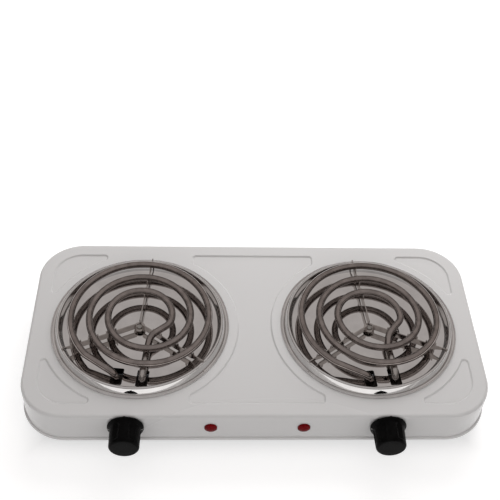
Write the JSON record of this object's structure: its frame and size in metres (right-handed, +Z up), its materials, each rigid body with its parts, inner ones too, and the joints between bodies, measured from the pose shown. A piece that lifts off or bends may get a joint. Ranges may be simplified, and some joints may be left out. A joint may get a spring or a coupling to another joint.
{
  "type": "hot plate burner",
  "caption": "Electric table hot plate: white enamelled steel body on rubber feet, polished drip pans with spiral heating tubes on armed supports, turning knobs and red lamps.",
  "frame": {"origin": "on the floor under the middle of the whole object", "axes": "+X to the right seen from the front, +Y to the back, +Z up; knobs face -Y"},
  "size_m": [0.4332, 0.243, 0.0628],
  "materials": {
    "enamel": "gloss",
    "zinc": "satin",
    "rubber": "matte",
    "screw_steel": "satin",
    "polished_steel": "mirror",
    "heater_tube": "satin",
    "support_steel": "satin",
    "ceramic": "gloss",
    "terminal_metal": "satin",
    "knob_plastic": "gloss",
    "spindle_steel": "satin",
    "regulator_plastic": "matte",
    "lamp_red": "gloss",
    "lamp_case": "matte",
    "wire_sleeve": "matte",
    "lead_sleeve": "matte",
    "gland_plastic": "matte",
    "mains_plastic": "matte",
    "earth_sleeve": "matte"
  },
  "bodies": {
    "housing": {"top_shell": "enamel", "base_lugs": "enamel", "bottom_plate": "zinc", "burner_bridge_left": "zinc", "burner_bridge_right": "zinc", "terminal_bracket_left": "zinc", "terminal_bracket_right": "zinc", "lamp_clips": "zinc", "foot_front_left": "rubber", "foot_front_right": "rubber", "foot_rear_left": "rubber", "foot_rear_right": "rubber", "cord_gland": "rubber", "foot_screws": "screw_steel", "hub_screws": "screw_steel", "hub_nuts": "screw_steel", "block_screws": "screw_steel", "bush_nuts": "screw_steel", "clamp_screws": "screw_steel", "earth_screw": "screw_steel", "drip_pan_left": "polished_steel", "heating_coil_left": "heater_tube", "coil_support_left": "support_steel", "terminal_block_left": "ceramic", "coil_pins_left": "terminal_metal", "regulator_blades_left": "terminal_metal", "regulator_bush_left": "spindle_steel", "regulator_left": "regulator_plastic", "lamp_lens_left": "lamp_red", "lamp_body_left": "lamp_case", "wires_left": "wire_sleeve", "lamp_leads_left": "lead_sleeve", "drip_pan_right": "polished_steel", "heating_coil_right": "heater_tube", "coil_support_right": "support_steel", "terminal_block_right": "ceramic", "coil_pins_right": "terminal_metal", "regulator_blades_right": "terminal_metal", "regulator_bush_right": "spindle_steel", "regulator_right": "regulator_plastic", "lamp_lens_right": "lamp_red", "lamp_body_right": "lamp_case", "wires_right": "wire_sleeve", "lamp_leads_right": "lead_sleeve", "gland_lock_ring": "gland_plastic", "mains_block": "mains_plastic", "earth_wire": "earth_sleeve"},
    "control_left": {"knob_left": "knob_plastic", "spindle_left": "spindle_steel"},
    "control_right": {"knob_right": "knob_plastic", "spindle_right": "spindle_steel"}
  },
  "joints": [
    {"name": "turn_left", "type": "hinge", "parent": "housing", "child": "control_left", "pos_m": [-0.118, -0.0975, 0.0335], "axis": [0, 1, 0], "range_deg": [0, 270]},
    {"name": "turn_right", "type": "hinge", "parent": "housing", "child": "control_right", "pos_m": [0.118, -0.0975, 0.0335], "axis": [0, 1, 0], "range_deg": [0, 270]}
  ]
}
